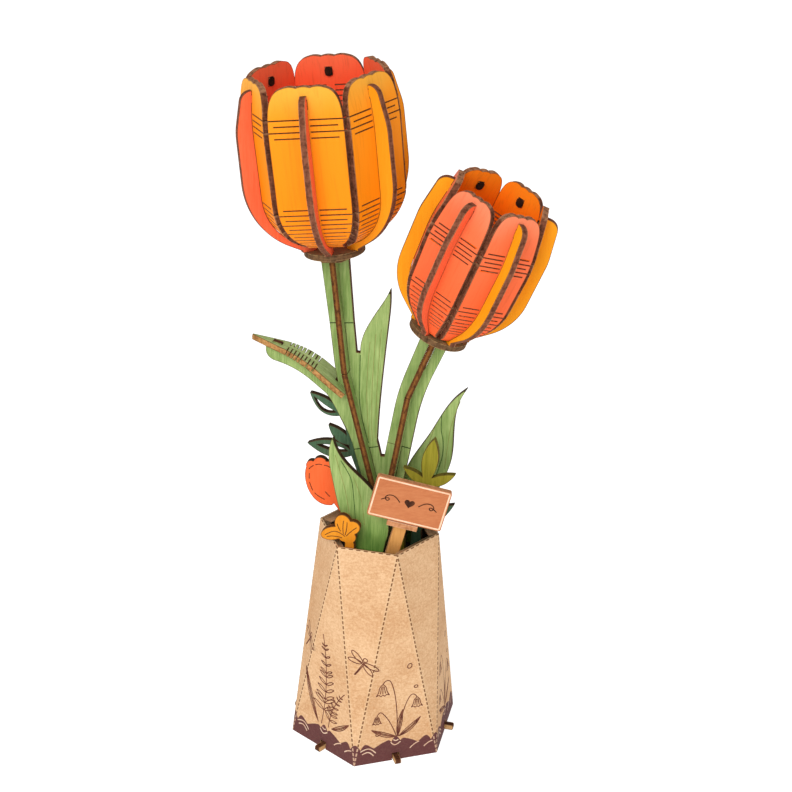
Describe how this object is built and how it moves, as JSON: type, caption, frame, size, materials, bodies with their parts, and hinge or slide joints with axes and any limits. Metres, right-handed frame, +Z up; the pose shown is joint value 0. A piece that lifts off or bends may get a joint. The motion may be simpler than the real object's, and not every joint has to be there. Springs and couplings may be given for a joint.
{
  "type": "wooden tulip ornament",
  "caption": "Slot-together plywood tulips with kerf-bent petals, leaves and small push-in picks, standing in a folded card vase; a table ornament.",
  "frame": {"origin": "middle of the base plate's underside, on the table", "axes": "+Z up, -Y to the front, +X to the right; the stems lie in the plane y = 0"},
  "size_m": [0.1024, 0.0614, 0.2411],
  "materials": {
    "card": "uncoated kraft card",
    "plain_ply": "sanded plywood",
    "soil_ply": "dark stained plywood",
    "green_ply": "printed plywood, satin",
    "dark_green_ply": "printed plywood, satin",
    "olive_ply": "printed plywood, satin",
    "orange_ply": "printed plywood, satin",
    "coral_ply": "printed plywood, satin",
    "yellow_ply": "printed plywood, satin",
    "brown_ply": "printed plywood, satin",
    "sign_ply": "printed plywood, satin"
  },
  "bodies": {
    "arrangement": {"base_plate": "plain_ply", "drooping_leaf": "green_ply", "frame_board_low": "plain_ply", "frame_board_middle": "plain_ply", "short_calyx": "brown_ply", "short_collar": "brown_ply", "short_petal_1": "coral_ply", "short_petal_2": "coral_ply", "short_petal_3": "coral_ply", "short_petal_4": "coral_ply", "short_petal_5": "coral_ply", "short_petal_6": "coral_ply", "short_rib_1": "yellow_ply", "short_rib_2": "yellow_ply", "short_rib_3": "yellow_ply", "short_rib_4": "yellow_ply", "short_rib_5": "yellow_ply", "short_rib_6": "yellow_ply", "short_stem_high_cross": "green_ply", "short_stem_low_cross": "green_ply", "short_stem_plank": "green_ply", "soil_plate": "soil_ply", "stem_fork": "green_ply", "tall_calyx": "brown_ply", "tall_collar": "brown_ply", "tall_petal_1": "orange_ply", "tall_petal_2": "orange_ply", "tall_petal_3": "orange_ply", "tall_petal_4": "orange_ply", "tall_petal_5": "orange_ply", "tall_petal_6": "orange_ply", "tall_rib_1": "coral_ply", "tall_rib_2": "coral_ply", "tall_rib_3": "coral_ply", "tall_rib_4": "coral_ply", "tall_rib_5": "coral_ply", "tall_rib_6": "coral_ply", "tall_stem_high_cross": "green_ply", "tall_stem_leaf_plank": "green_ply", "tall_stem_low_cross": "green_ply", "tall_stem_top_plank": "green_ply", "vase_sleeve": "card"},
    "front_leaf_pick": {"front_leaf": "green_ply"},
    "right_leaf_pick": {"right_leaf": "green_ply"},
    "dark_sprig_pick": {"dark_sprig": "dark_green_ply"},
    "dark_leaf_pick": {"dark_leaf": "dark_green_ply"},
    "olive_sprig_pick": {"olive_sprig": "olive_ply"},
    "bud": {"bud_pick": "coral_ply"},
    "butterfly_pick": {"butterfly": "yellow_ply"},
    "sign": {"sign_post": "plain_ply", "sign_board": "sign_ply", "sign_rail": "sign_ply"}
  },
  "joints": [
    {"name": "front_leaf_pick_lift", "type": "slide", "parent": "arrangement", "child": "front_leaf_pick", "axis": [0, 0, 1], "range_m": [0, 0.01]},
    {"name": "right_leaf_pick_lift", "type": "slide", "parent": "arrangement", "child": "right_leaf_pick", "axis": [0, 0, 1], "range_m": [0, 0.01]},
    {"name": "dark_sprig_pick_lift", "type": "slide", "parent": "arrangement", "child": "dark_sprig_pick", "axis": [0, 0, 1], "range_m": [0, 0.01]},
    {"name": "dark_leaf_pick_lift", "type": "slide", "parent": "arrangement", "child": "dark_leaf_pick", "axis": [0, 0, 1], "range_m": [0, 0.01]},
    {"name": "olive_sprig_pick_lift", "type": "slide", "parent": "arrangement", "child": "olive_sprig_pick", "axis": [0, 0, 1], "range_m": [0, 0.01]},
    {"name": "bud_lift", "type": "slide", "parent": "arrangement", "child": "bud", "axis": [0, 0, 1], "range_m": [0, 0.01]},
    {"name": "butterfly_pick_lift", "type": "slide", "parent": "arrangement", "child": "butterfly_pick", "axis": [0, 0, 1], "range_m": [0, 0.01]},
    {"name": "sign_lift", "type": "slide", "parent": "arrangement", "child": "sign", "axis": [0.2283, 0.0485, 0.9724], "range_m": [0, 0.01]}
  ]
}
